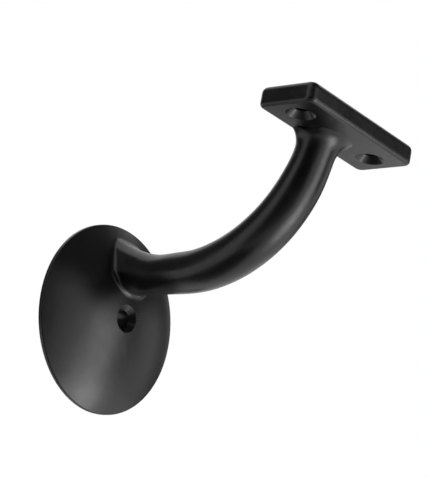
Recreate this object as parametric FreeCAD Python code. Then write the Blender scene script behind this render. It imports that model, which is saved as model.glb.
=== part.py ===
import FreeCAD, Part
import math
import os

from FreeCAD import Vector

# Wall-mounted handrail bracket, one casting: a domed rose, a curved arm and a saddle plate.
#
# Frame, in millimetres: the wall is the plane Y = 0 and the bracket reaches out along -Y. The handrail
# lies along X and Z is up. The origin is on the wall, on the axis of the wall screw.

# ---- Rose: the round foot on the wall ----
ROSE_DIAMETER = 65.0
ROSE_HEIGHT = 9.8           # from the wall to the crown of the dome
RIM_THICKNESS = 1.2         # straight edge of the rose before the dome starts
RIM_ROUNDING = 0.5
SHELL_WALL = 3.4            # metal left by the cored back
CORE_FILLET = 1.2           # rounding where the core meets the screw boss
WALL_HOLE_DIAMETER = 6.0
WALL_SINK_DIAMETER = 10.0   # countersink at the surface of the dome
BOSS_WALL = 4.5             # metal round the wall screw, behind the dome

# ---- Arm: oval in section, a straight run and then one bend up to the saddle ----
ARM_HEIGHT = 15.3           # axis of the straight run above the wall screw
ARM_SETBACK = 6.7           # axis of the arm behind the middle of the saddle, under the rail
BEND_RADIUS = 48.4
ROOT_DEPTH = 5.9            # half depths of the oval, measured in the plane of the bend
BELLY_DEPTH = 6.95
NECK_DEPTH = 5.85
OVALNESS = 1.25             # half width of the oval to its half depth
ROOT_FILLET = 1.7           # round the arm's root on the dome
RAMP_HEIGHT = 6.3           # rise of the ramp that runs from the arm's back up the dome
RAMP_LENGTH = 17.0
RAMP_HOLLOW = 1.6           # 1 is a straight ramp, more makes it hollow
RAMP_WIDENING = 1.1         # the arm's half width grows by this much at the foot of the ramp
RAMP_SQUARENESS = 2.0       # added to the section's exponent of 2 where the ramp meets the dome

# ---- Saddle: the plate that the rail rests on ----
PROJECTION = 85.8           # from the wall to the middle of the rail
SADDLE_HEIGHT = 59.3        # underside above the wall screw
SADDLE_LENGTH = 57.4
SADDLE_WIDTH = 22.0
SADDLE_THICKNESS = 7.0
SADDLE_CORNER = 2.8         # rounding of the four upright corners
TOP_ROUNDING = 2.2
UNDER_ROUNDING = 1.4
FLARE_RADIUS = 6.2          # the arm swells by this much where it joins the saddle
FLARE_SINK = 0.3            # crown of the flare inside the plate, so that the joint is closed
FLARE_INSET = 0.2           # back of the flare inside the saddle's back face
FLARE_SQUARENESS = 2.0      # added to the section's exponent of 2 where the flare meets the saddle

# ---- Rail screws, up through the saddle ----
RAIL_HOLE_SPACING = 39.0
RAIL_HOLE_DIAMETER = 5.5
RAIL_SINK_DIAMETER = 9.8    # countersink at the underside
SEAT_DIAMETER = 22.0        # round clearance for the screw head and driver, cut into the flare

SINK_ANGLE = 90.0           # countersinks of both kinds
CUT_OVERRUN = 1.0           # tools pass this far beyond the faces that they open
NEARLY = 0.001              # an edge this close to a surface lies on it

# ---- How finely the arm is drawn ----
SECTION_POINTS = 20         # round each oval section
RAMP_SECTIONS = 6
PLAIN_SECTIONS = 9
FLARE_SECTIONS = 6

# ---- Worked out ----
ROSE_RADIUS = ROSE_DIAMETER / 2
CROWN_RISE = ROSE_HEIGHT - RIM_THICKNESS
DOME_RADIUS = (ROSE_RADIUS ** 2 + CROWN_RISE ** 2) / (2 * CROWN_RISE)
DOME_CENTRE = Vector(0, DOME_RADIUS - ROSE_HEIGHT, 0)
BOSS_RADIUS = WALL_SINK_DIAMETER / 2 + BOSS_WALL - SHELL_WALL / 2
SADDLE_BACK = PROJECTION - SADDLE_WIDTH / 2
ARM_REACH = PROJECTION - ARM_SETBACK
NECK_HEIGHT = SADDLE_HEIGHT + FLARE_SINK
BEND_ANGLE = math.acos(1 - (NECK_HEIGHT - ARM_HEIGHT) / BEND_RADIUS)
BEND_START = ARM_REACH - BEND_RADIUS * math.sin(BEND_ANGLE)
ARM_LENGTH = BEND_START + BEND_RADIUS * BEND_ANGLE
RAMP_TOP = ARM_HEIGHT + ROOT_DEPTH + RAMP_HEIGHT
RAMP_START = math.sqrt(DOME_RADIUS ** 2 - RAMP_TOP ** 2) - DOME_CENTRE.y    # on the dome


# ---- Rose ----

def turned(edges):
    """Solid of revolution about the wall screw's axis, from a closed outline in the plane X = 0.

    The outline lies below the axis, so that the seam stays clear of the arm.
    """
    face = Part.Face(Part.Wire(edges))
    return face.revolve(Vector(0, 0, 0), Vector(0, 1, 0), 360)


def arc_between(start, end, centre):
    """The shorter arc from start to end of the circle with this centre."""
    middle = (start + end) * 0.5 - centre
    middle = middle * ((start - centre).Length / middle.Length)
    return Part.Arc(start, centre + middle, end).toShape()


def beside_ball(radius, ball_radius, rounding):
    """Centre of a rounding that touches the inside of the ball and stands on this radius."""
    reach = math.sqrt((ball_radius - rounding) ** 2 - radius ** 2)
    return Vector(0, DOME_CENTRE.y - reach, -radius)


def touch_on_ball(centre, ball_radius):
    """Point of the ball that a rounding with this centre touches."""
    outward = centre - DOME_CENTRE
    return DOME_CENTRE + outward * (ball_radius / outward.Length)


def make_rose_blank():
    """Solid dome with a short straight rim and a rounded edge."""
    hub = Vector(0, 0, 0)
    back_edge = Vector(0, 0, -ROSE_RADIUS)
    rounding = beside_ball(ROSE_RADIUS - RIM_ROUNDING, DOME_RADIUS, RIM_ROUNDING)
    rim_end = rounding - Vector(0, 0, RIM_ROUNDING)
    dome_edge = touch_on_ball(rounding, DOME_RADIUS)
    crown = Vector(0, -ROSE_HEIGHT, 0)
    return turned([
        Part.makeLine(hub, back_edge),
        Part.makeLine(back_edge, rim_end),
        arc_between(rim_end, dome_edge, rounding),
        arc_between(dome_edge, crown, DOME_CENTRE),
        Part.makeLine(crown, hub),
    ])


def make_core():
    """The hollow behind the dome: inside a smaller ball, round the boss of the wall screw."""
    ball_radius = DOME_RADIUS - SHELL_WALL
    mouth = math.sqrt(ball_radius ** 2 - (DOME_CENTRE.y - CUT_OVERRUN) ** 2)
    rounding = beside_ball(BOSS_RADIUS + CORE_FILLET, ball_radius, CORE_FILLET)
    boss_start = Vector(0, CUT_OVERRUN, -BOSS_RADIUS)
    boss_end = rounding + Vector(0, 0, CORE_FILLET)
    floor_start = touch_on_ball(rounding, ball_radius)
    floor_end = Vector(0, CUT_OVERRUN, -mouth)
    return turned([
        Part.makeLine(boss_start, boss_end),
        arc_between(boss_end, floor_start, rounding),
        arc_between(floor_start, floor_end, DOME_CENTRE),
        Part.makeLine(floor_end, boss_start),
    ])


# ---- Arm ----

def arm_axis(distance):
    """Centre of the section and the arm's direction, this far along the axis from the wall."""
    if distance <= BEND_START:
        return Vector(0, -distance, ARM_HEIGHT), 0.0
    turn = (distance - BEND_START) / BEND_RADIUS
    reach = BEND_START + BEND_RADIUS * math.sin(turn)
    height = ARM_HEIGHT + BEND_RADIUS * (1 - math.cos(turn))
    return Vector(0, -reach, height), turn


def arm_depth(distance):
    """Half depth of the plain oval: root, belly and neck on one parabola."""
    share = distance / ARM_LENGTH
    root = ROOT_DEPTH * (1 - share) * (1 - 2 * share)
    belly = BELLY_DEPTH * 4 * share * (1 - share)
    neck = NECK_DEPTH * share * (2 * share - 1)
    return root + belly + neck


def oval_wire(centre, tilt, half_width, outer_depth, inner_depth, inner_power):
    """Closed section of the arm, square to the direction that tilts up from -Y by this angle.

    The inner side faces the centre of the bend. Its half is a superellipse of the given power, and
    the outer half is a plain half ellipse.
    """
    inward = Vector(0, math.sin(tilt), math.cos(tilt))
    points = []
    for step in range(SECTION_POINTS):
        angle = 2 * math.pi * step / SECTION_POINTS
        across = math.sin(angle)
        along = math.cos(angle)
        power = inner_power if along > 0 else 2.0
        depth = inner_depth if along > 0 else outer_depth
        x = math.copysign(abs(across) ** (2 / power), across) * half_width
        d = math.copysign(abs(along) ** (2 / power), along) * depth
        points.append(centre + Vector(x, 0, 0) + inward * d)
    curve = Part.BSplineCurve()
    curve.interpolate(Points=points, PeriodicFlag=True, Parameters=list(range(SECTION_POINTS + 1)))
    return Part.Wire(curve.toShape())


def ramp_section(distance):
    """Root of the arm: its back rises towards the dome in a hollow ramp with square shoulders."""
    centre, tilt = arm_axis(distance)
    depth = arm_depth(distance)
    share = (RAMP_START + RAMP_LENGTH - distance) / RAMP_LENGTH
    rise = RAMP_HEIGHT * share ** RAMP_HOLLOW
    half_width = depth * OVALNESS + RAMP_WIDENING * share
    power = 2 + RAMP_SQUARENESS * share
    return oval_wire(centre, tilt, half_width, depth, depth + rise, power)


def plain_section(distance):
    """The plain oval of the arm's middle."""
    centre, tilt = arm_axis(distance)
    depth = arm_depth(distance)
    return oval_wire(centre, tilt, depth * OVALNESS, depth, depth, 2)


def distance_at(height):
    """Distance along the axis at which the bend reaches this height."""
    return BEND_START + BEND_RADIUS * math.acos(1 - (height - ARM_HEIGHT) / BEND_RADIUS)


def flare_section(angle):
    """Neck of the arm, swelling along a quarter circle that ends level with the saddle.

    The back of the neck turns to stand flush with the back of the saddle.
    """
    swell = FLARE_RADIUS * (1 - math.cos(angle))
    drop = FLARE_RADIUS * (1 - math.sin(angle))
    distance = distance_at(NECK_HEIGHT - drop)
    centre, tilt = arm_axis(distance)
    depth = arm_depth(distance)
    blend = math.sin(angle) ** 2
    level = tilt + (math.pi / 2 - tilt) * blend
    back_depth = -centre.y - SADDLE_BACK - FLARE_INSET
    inner = depth + (back_depth - depth) * blend
    power = 2 + FLARE_SQUARENESS * blend
    return oval_wire(centre, level, depth * OVALNESS + swell, depth + swell, inner, power)


def make_arm():
    """One smooth loft from inside the dome to inside the saddle."""
    plain_start = RAMP_START + RAMP_LENGTH
    plain_length = distance_at(NECK_HEIGHT - FLARE_RADIUS) - plain_start
    wires = []
    for step in range(RAMP_SECTIONS):
        wires.append(ramp_section(RAMP_START + RAMP_LENGTH * (step - 0.5) / RAMP_SECTIONS))
    for step in range(PLAIN_SECTIONS + 1):
        wires.append(plain_section(plain_start + plain_length * step / PLAIN_SECTIONS))
    for step in range(FLARE_SECTIONS):
        wires.append(flare_section(math.pi / 2 * (step + 1) / FLARE_SECTIONS))
    return Part.makeLoft(wires, True, False)


# ---- Saddle ----

def make_saddle():
    """Flat plate with rounded corners and edges."""
    corner = Vector(-SADDLE_LENGTH / 2, -PROJECTION - SADDLE_WIDTH / 2, SADDLE_HEIGHT)
    plate = Part.makeBox(SADDLE_LENGTH, SADDLE_WIDTH, SADDLE_THICKNESS, corner)
    uprights = [edge for edge in plate.Edges if edge.BoundBox.ZLength > SADDLE_THICKNESS / 2]
    plate = plate.makeFillet(SADDLE_CORNER, uprights)
    plate = plate.makeFillet(TOP_ROUNDING, level_edges(plate, SADDLE_HEIGHT + SADDLE_THICKNESS))
    return plate.makeFillet(UNDER_ROUNDING, level_edges(plate, SADDLE_HEIGHT))


def level_edges(shape, height):
    """Edges that lie wholly at this height."""
    found = []
    for edge in shape.Edges:
        box = edge.BoundBox
        if abs(box.ZMin - height) < NEARLY and abs(box.ZMax - height) < NEARLY:
            found.append(edge)
    return found


def rail_hole_places():
    """Centres of the two rail screw holes, on the underside of the saddle."""
    for side in (-1, 1):
        yield Vector(side * RAIL_HOLE_SPACING / 2, -PROJECTION, SADDLE_HEIGHT)


def make_seat_cutter(place):
    """Round clearance for a screw's head and its driver, through the whole height of the flare."""
    start = place + Vector(0, 0, FLARE_SINK + CUT_OVERRUN)
    depth = FLARE_SINK + FLARE_RADIUS + 2 * CUT_OVERRUN
    return Part.makeCylinder(SEAT_DIAMETER / 2, depth, start, Vector(0, 0, -1))


# ---- Screw holes ----

def make_screw_cutter(hole_diameter, sink_diameter, mouth, axis, depth):
    """A countersunk screw's hole: a cone from the mouth down to the shank, and the shank right through.

    axis points from the mouth into the metal.
    """
    slope = math.tan(math.radians(SINK_ANGLE / 2))
    sink_depth = (sink_diameter - hole_diameter) / 2 / slope
    start = mouth - axis * CUT_OVERRUN
    start_radius = sink_diameter / 2 + CUT_OVERRUN * slope
    cone = Part.makeCone(start_radius, hole_diameter / 2, sink_depth + CUT_OVERRUN, start, axis)
    shank = Part.makeCylinder(hole_diameter / 2, depth + 2 * CUT_OVERRUN, start, axis)
    return cone.fuse(shank)


def make_wall_screw_cutter():
    crown = Vector(0, -ROSE_HEIGHT, 0)
    into_wall = Vector(0, 1, 0)
    return make_screw_cutter(WALL_HOLE_DIAMETER, WALL_SINK_DIAMETER, crown, into_wall, ROSE_HEIGHT)


def make_rail_screw_cutter(place):
    up = Vector(0, 0, 1)
    return make_screw_cutter(RAIL_HOLE_DIAMETER, RAIL_SINK_DIAMETER, place, up, SADDLE_THICKNESS)


# ---- The casting ----

def root_edges(body):
    """Edges where the arm's surface meets the ball of the dome."""
    found = []
    for edge in body.Edges:
        first = edge.FirstParameter
        last = edge.LastParameter
        points = [edge.valueAt(value) for value in (first, (first + last) / 2, last)]
        off_ball = [abs(point.distanceToPoint(DOME_CENTRE) - DOME_RADIUS) for point in points]
        inside_rim = math.hypot(points[1].x, points[1].z) < ROSE_RADIUS - RIM_THICKNESS
        if max(off_ball) < NEARLY and inside_rim:
            found.append(edge)
    return found


def make_bracket():
    """Arm and saddle, then the rose with a fillet round the arm's root, then the core and the holes."""
    arm = make_arm()
    for place in rail_hole_places():
        arm = arm.cut(make_seat_cutter(place))
    body = make_rose_blank().fuse(arm.fuse(make_saddle()))
    body = body.makeFillet(ROOT_FILLET, root_edges(body))
    body = body.cut(make_core())
    body = body.cut(make_wall_screw_cutter())
    for place in rail_hole_places():
        body = body.cut(make_rail_screw_cutter(place))
    return body


bracket = make_bracket()
os.makedirs("parts", exist_ok=True)
bracket.exportStep("parts/bracket_casting.step")
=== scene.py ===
import math

import bpy
from mathutils import Matrix, Vector


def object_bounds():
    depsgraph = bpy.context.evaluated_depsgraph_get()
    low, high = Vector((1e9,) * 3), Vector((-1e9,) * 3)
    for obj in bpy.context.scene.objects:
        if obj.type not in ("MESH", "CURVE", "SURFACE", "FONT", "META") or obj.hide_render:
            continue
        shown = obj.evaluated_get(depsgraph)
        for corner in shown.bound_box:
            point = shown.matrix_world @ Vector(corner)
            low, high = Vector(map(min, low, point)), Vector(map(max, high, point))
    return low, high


# A cast handrail bracket, coated satin black, alone on white.
# Metres. The wall is the plane Y = 0, the rail lies along X above the saddle, Z is up.

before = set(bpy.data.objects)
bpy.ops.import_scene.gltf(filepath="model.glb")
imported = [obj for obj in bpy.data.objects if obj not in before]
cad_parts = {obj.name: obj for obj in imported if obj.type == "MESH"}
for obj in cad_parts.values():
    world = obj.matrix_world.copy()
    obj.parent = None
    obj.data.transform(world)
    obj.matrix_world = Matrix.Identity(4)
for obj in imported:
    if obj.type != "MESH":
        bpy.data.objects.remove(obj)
cad_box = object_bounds()
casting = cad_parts["bracket_casting"]

low, high = (Vector(corner) for corner in cad_box)
centre = (low + high) / 2

# ---- View: from below, in front and to the left ----
VIEW_AZIMUTH = -48.17       # degrees; 0 looks along +Y
VIEW_ELEVATION = -17.15     # below the horizon, looking up
VIEW_ROLL = 10.64           # the camera is tipped, so uprights lean to the left
VIEW_DISTANCE = 0.6628      # from the point that the camera looks at
AIM_LEFT = 0.00316          # that point, from the object's centre, as the picture sees it
AIM_UP = 0.00915
LENS = 152.13               # mm
SENSOR = 36                 # mm, along the picture's long side
NEAR_CLIP = 0.01

# ---- Studio ----
FLOOR_DROP = 1.3            # floor below the object, clear of the low camera and the low key light
FLOOR_SIZE = 60.0
FLOOR_GREY = 0.85
FLOOR_LIFT = 0.62           # glow that brings the floor up to white, for the camera and reflections
PAPER_ROUGHNESS = 0.9       # of the floor and the cards
AMBIENT = 0.36              # brightness of the white surround, as light on the object
LAMP_DISTANCE = 1.0
CARD_DISTANCE = 1.1

# ---- Satin black coating, sizes in metres ----
COAT_DARK = (0.0065, 0.0065, 0.007, 1)
COAT_PALE = (0.0125, 0.0122, 0.0125, 1)
COAT_GLOSS = 0.5            # specular level
CLOUD_SIZE = 0.016          # cloudiness of the colour and of the gloss
CLOUD_PALENESS = 0.6        # the palest cloud's share of COAT_PALE
CLOUD_ROUGHNESS = (0.28, 0.36)
GRAIN_SIZE = 0.0022         # finer unevenness of the gloss
GRAIN_ROUGHNESS = 0.025     # added or taken away
WAVE_SIZE = 0.012           # unevenness of the casting under the paint
WAVE_HEIGHT = 0.00011
PEEL_SIZE = 0.0011          # orange peel of the paint
PEEL_HEIGHT = 0.000012
NIB_SPACING = 0.0065        # dust caught in the paint
NIB_RADIUS = 0.05           # share of the spacing
NIB_HEIGHT = 0.00002
WEAR_RADIUS = 0.0009        # width of the rubbed edges
WEAR_SAMPLES = 6
WEAR_BEND = (0.995, 0.93)   # cosine of the bend at an edge, where wear begins and where it is full
PATCH_SIZE = 0.009          # the edges are rubbed in patches
PATCH_RANGE = (0.48, 0.66)  # noise at a patch's rim and inside it
WEAR_PALENESS = 0.9         # a rubbed edge's share of COAT_PALE, on top of the clouds'
WEAR_POLISH = 0.07          # roughness that a rubbed edge loses
NOISE_RANGE = (0.3, 0.7)    # what a layer of noise mostly stays within
NOISE_SHIFT = (1, 0.7, 1.3) # way in which the layers are shifted, so that no two line up


def direction(azimuth, elevation):
    """Unit vector from the object towards a viewer at this azimuth and elevation, in degrees."""
    a = math.radians(azimuth)
    e = math.radians(elevation)
    return Vector((math.sin(a) * math.cos(e), -math.cos(a) * math.cos(e), math.sin(e)))


def turned_to(back, roll=0.0):
    """Rotation whose Z axis is this direction and whose X axis is level, but for the roll."""
    right = Vector((-back.y, back.x, 0)).normalized()
    up = back.cross(right)
    tilted_right = right * math.cos(roll) + up * math.sin(roll)
    tilted_up = up * math.cos(roll) - right * math.sin(roll)
    return Matrix((tilted_right, tilted_up, back)).transposed()


def facing_object(azimuth, elevation, distance):
    """Place in this direction from the object's centre, with its Z axis away from the object."""
    towards = direction(azimuth, elevation)
    return Matrix.Translation(centre + towards * distance) @ turned_to(towards).to_4x4()


def add_camera():
    """Camera with the photograph's view of the object."""
    back = direction(VIEW_AZIMUTH, VIEW_ELEVATION)
    turn = turned_to(back, math.radians(VIEW_ROLL))
    aim = centre + turn @ Vector((-AIM_LEFT, AIM_UP, 0))
    data = bpy.data.cameras.new("camera")
    data.lens = LENS
    data.sensor_width = SENSOR
    data.clip_start = NEAR_CLIP
    camera = bpy.data.objects.new("camera", data)
    camera.matrix_world = Matrix.Translation(aim + back * VIEW_DISTANCE) @ turn.to_4x4()
    bpy.context.collection.objects.link(camera)
    bpy.context.scene.camera = camera


add_camera()


# ---- Nodes ----

def new_material(name):
    material = bpy.data.materials.new(name)
    material.use_nodes = True
    return material


def shader_of(material):
    return material.node_tree.nodes["Principled BSDF"]


def add_noise(tree, place, size, detail, shift):
    """Noise from 0 to 1 with features of this size."""
    shifted = tree.nodes.new("ShaderNodeMapping")
    shifted.inputs["Location"].default_value = [shift * part for part in NOISE_SHIFT]
    tree.links.new(place, shifted.inputs["Vector"])
    noise = tree.nodes.new("ShaderNodeTexNoise")
    noise.inputs["Scale"].default_value = 1 / size
    noise.inputs["Detail"].default_value = detail
    tree.links.new(shifted.outputs["Vector"], noise.inputs["Vector"])
    return noise.outputs["Fac"]


def spread(tree, value, range_in, range_out):
    """Value, stretched from one range to another and held inside it."""
    node = tree.nodes.new("ShaderNodeMapRange")
    node.inputs["From Min"].default_value, node.inputs["From Max"].default_value = range_in
    node.inputs["To Min"].default_value, node.inputs["To Max"].default_value = range_out
    tree.links.new(value, node.inputs["Value"])
    return node.outputs["Result"]


def calculate(tree, operation, first, second):
    """One Math node. second may be a number."""
    node = tree.nodes.new("ShaderNodeMath")
    node.operation = operation
    tree.links.new(first, node.inputs[0])
    if isinstance(second, float):
        node.inputs[1].default_value = second
    else:
        tree.links.new(second, node.inputs[1])
    return node.outputs[0]


def add_bump(tree, height, distance, below=None):
    """Surface direction with these heights on top of the bumps below."""
    node = tree.nodes.new("ShaderNodeBump")
    node.inputs["Distance"].default_value = distance
    tree.links.new(height, node.inputs["Height"])
    if below is not None:
        tree.links.new(below, node.inputs["Normal"])
    return node.outputs["Normal"]


# ---- Coating ----

def rubbed_edges(tree, place):
    """1 on the edges where hands and tools have rubbed, in patches, and 0 elsewhere."""
    geometry = tree.nodes.new("ShaderNodeNewGeometry")
    rounded = tree.nodes.new("ShaderNodeBevel")
    rounded.samples = WEAR_SAMPLES
    rounded.inputs["Radius"].default_value = WEAR_RADIUS
    bend = tree.nodes.new("ShaderNodeVectorMath")
    bend.operation = "DOT_PRODUCT"
    tree.links.new(geometry.outputs["Normal"], bend.inputs[0])
    tree.links.new(rounded.outputs["Normal"], bend.inputs[1])
    edge = spread(tree, bend.outputs["Value"], WEAR_BEND, (0.0, 1.0))
    patches = add_noise(tree, place, PATCH_SIZE, detail=3, shift=23.0)
    return calculate(tree, "MULTIPLY", edge, spread(tree, patches, PATCH_RANGE, (0.0, 1.0)))


def coat_colour(tree, clouds, wear):
    """Black, paler in clouds and on the rubbed edges."""
    colour = tree.nodes.new("ShaderNodeMix")
    colour.data_type = "RGBA"
    colour.inputs["A"].default_value = COAT_DARK
    colour.inputs["B"].default_value = COAT_PALE
    cloudy = spread(tree, clouds, NOISE_RANGE, (0.0, CLOUD_PALENESS))
    rubbed = calculate(tree, "MULTIPLY", wear, WEAR_PALENESS)
    tree.links.new(calculate(tree, "ADD", cloudy, rubbed), colour.inputs["Factor"])
    return colour.outputs["Result"]


def coat_roughness(tree, place, clouds, wear):
    """Satin gloss, cloudy and a little grainy, and polished on the rubbed edges."""
    cloudy = spread(tree, clouds, NOISE_RANGE, CLOUD_ROUGHNESS)
    grain = add_noise(tree, place, GRAIN_SIZE, detail=3, shift=7.0)
    grainy = spread(tree, grain, NOISE_RANGE, (-GRAIN_ROUGHNESS, GRAIN_ROUGHNESS))
    polish = calculate(tree, "MULTIPLY", wear, WEAR_POLISH)
    return calculate(tree, "SUBTRACT", calculate(tree, "ADD", cloudy, grainy), polish)


def coat_bumps(tree, place):
    """Waves of the casting, the orange peel over them, and a few nibs."""
    waves = add_noise(tree, place, WAVE_SIZE, detail=2, shift=11.0)
    peel = add_noise(tree, place, PEEL_SIZE, detail=1, shift=17.0)
    nibs = tree.nodes.new("ShaderNodeTexVoronoi")
    nibs.inputs["Scale"].default_value = 1 / NIB_SPACING
    tree.links.new(place, nibs.inputs["Vector"])
    specks = spread(tree, nibs.outputs["Distance"], (NIB_RADIUS, 0.0), (0.0, 1.0))
    normal = add_bump(tree, waves, WAVE_HEIGHT)
    normal = add_bump(tree, peel, PEEL_HEIGHT, normal)
    return add_bump(tree, specks, NIB_HEIGHT, normal)


def black_coating():
    """Satin black paint over a casting."""
    coating = new_material("black_coating")
    tree = coating.node_tree
    shader = shader_of(coating)
    place = tree.nodes.new("ShaderNodeTexCoord").outputs["Object"]
    clouds = add_noise(tree, place, CLOUD_SIZE, detail=4, shift=3.0)
    wear = rubbed_edges(tree, place)
    tree.links.new(coat_colour(tree, clouds, wear), shader.inputs["Base Color"])
    tree.links.new(coat_roughness(tree, place, clouds, wear), shader.inputs["Roughness"])
    tree.links.new(coat_bumps(tree, place), shader.inputs["Normal"])
    shader.inputs["Specular IOR Level"].default_value = COAT_GLOSS
    return coating


coating = black_coating()
for slot in casting.material_slots:
    slot.material = coating


# ---- White surround, floor, lamps and cards ----

def seen_by_eye_or_gloss(tree):
    """1 for rays from the camera and in reflections and glass, 0 for the light on the object."""
    ray = tree.nodes.new("ShaderNodeLightPath").outputs
    seen = calculate(tree, "MAXIMUM", ray["Is Camera Ray"], ray["Is Glossy Ray"])
    return calculate(tree, "MAXIMUM", seen, ray["Is Transmission Ray"])


def white_world():
    """White where the camera or a reflection sees it, softer as light on the object."""
    world = bpy.data.worlds.new("studio")
    bpy.context.scene.world = world
    world.use_nodes = True
    tree = world.node_tree
    background = tree.nodes["Background"]
    background.inputs["Color"].default_value = (1, 1, 1, 1)
    strength = spread(tree, seen_by_eye_or_gloss(tree), (0.0, 1.0), (AMBIENT, 1.0))
    tree.links.new(strength, background.inputs["Strength"])


def add_panel(name, width, height, grey):
    """Flat sheet of matt paper in its own XY plane, that isn't part of the object."""
    x = width / 2
    y = height / 2
    mesh = bpy.data.meshes.new(name)
    mesh.from_pydata([(-x, -y, 0), (x, -y, 0), (x, y, 0), (-x, y, 0)], [], [(0, 1, 2, 3)])
    panel = bpy.data.objects.new(name, mesh)
    bpy.context.collection.objects.link(panel)
    paper = new_material(name + "_paper")
    shader_of(paper).inputs["Base Color"].default_value = (grey, grey, grey, 1)
    shader_of(paper).inputs["Roughness"].default_value = PAPER_ROUGHNESS
    mesh.materials.append(paper)
    return panel


def add_floor():
    """Pale floor that looks white to the camera and in reflections, and keeps the shadow."""
    floor = add_panel("floor", FLOOR_SIZE, FLOOR_SIZE, FLOOR_GREY)
    floor.location = (centre.x, centre.y, low.z - FLOOR_DROP)
    tree = floor.active_material.node_tree
    shader = shader_of(floor.active_material)
    shader.inputs["Emission Color"].default_value = (1, 1, 1, 1)
    glow = calculate(tree, "MULTIPLY", seen_by_eye_or_gloss(tree), FLOOR_LIFT)
    tree.links.new(glow, shader.inputs["Emission Strength"])


def add_softbox(name, azimuth, elevation, width, height, brightness):
    """Softbox that lights the object from this direction, where 1 is as bright as white."""
    data = bpy.data.lights.new(name, "AREA")
    data.shape = "RECTANGLE"
    data.size = width
    data.size_y = height
    data.energy = brightness * math.pi * width * height     # watts, over the whole face
    lamp = bpy.data.objects.new(name, data)
    lamp.matrix_world = facing_object(azimuth, elevation, LAMP_DISTANCE)
    lamp.visible_camera = False
    bpy.context.collection.objects.link(lamp)


def add_card(name, azimuth, elevation, width, height, grey):
    """Dark studio card that the object's gloss shows and the camera doesn't see."""
    card = add_panel(name, width, height, grey)
    card.matrix_world = facing_object(azimuth, elevation, CARD_DISTANCE)
    card.visible_camera = False


white_world()
add_floor()
add_softbox("key", azimuth=30, elevation=-7, width=0.38, height=0.68, brightness=2.4)
add_softbox("key_low", azimuth=39, elevation=-37, width=0.42, height=0.46, brightness=4.7)
add_softbox("key_right", azimuth=74, elevation=6, width=0.46, height=0.50, brightness=0.65)
add_card("card_front", azimuth=-44, elevation=-12, width=1.65, height=1.7, grey=0.05)
add_card("card_top", azimuth=0, elevation=58, width=1.8, height=1.4, grey=0.22)
add_card("card_right", azimuth=76, elevation=16, width=1.4, height=1.1, grey=0.22)
add_card("card_back", azimuth=-148, elevation=14, width=1.4, height=1.4, grey=0.32)
add_card("card_low_back", azimuth=133, elevation=-22, width=0.30, height=0.30, grey=0.30)
add_card("card_below", azimuth=-120, elevation=-80, width=1.2, height=1.0, grey=0.12)

bpy.context.scene.view_settings.view_transform = "Standard"
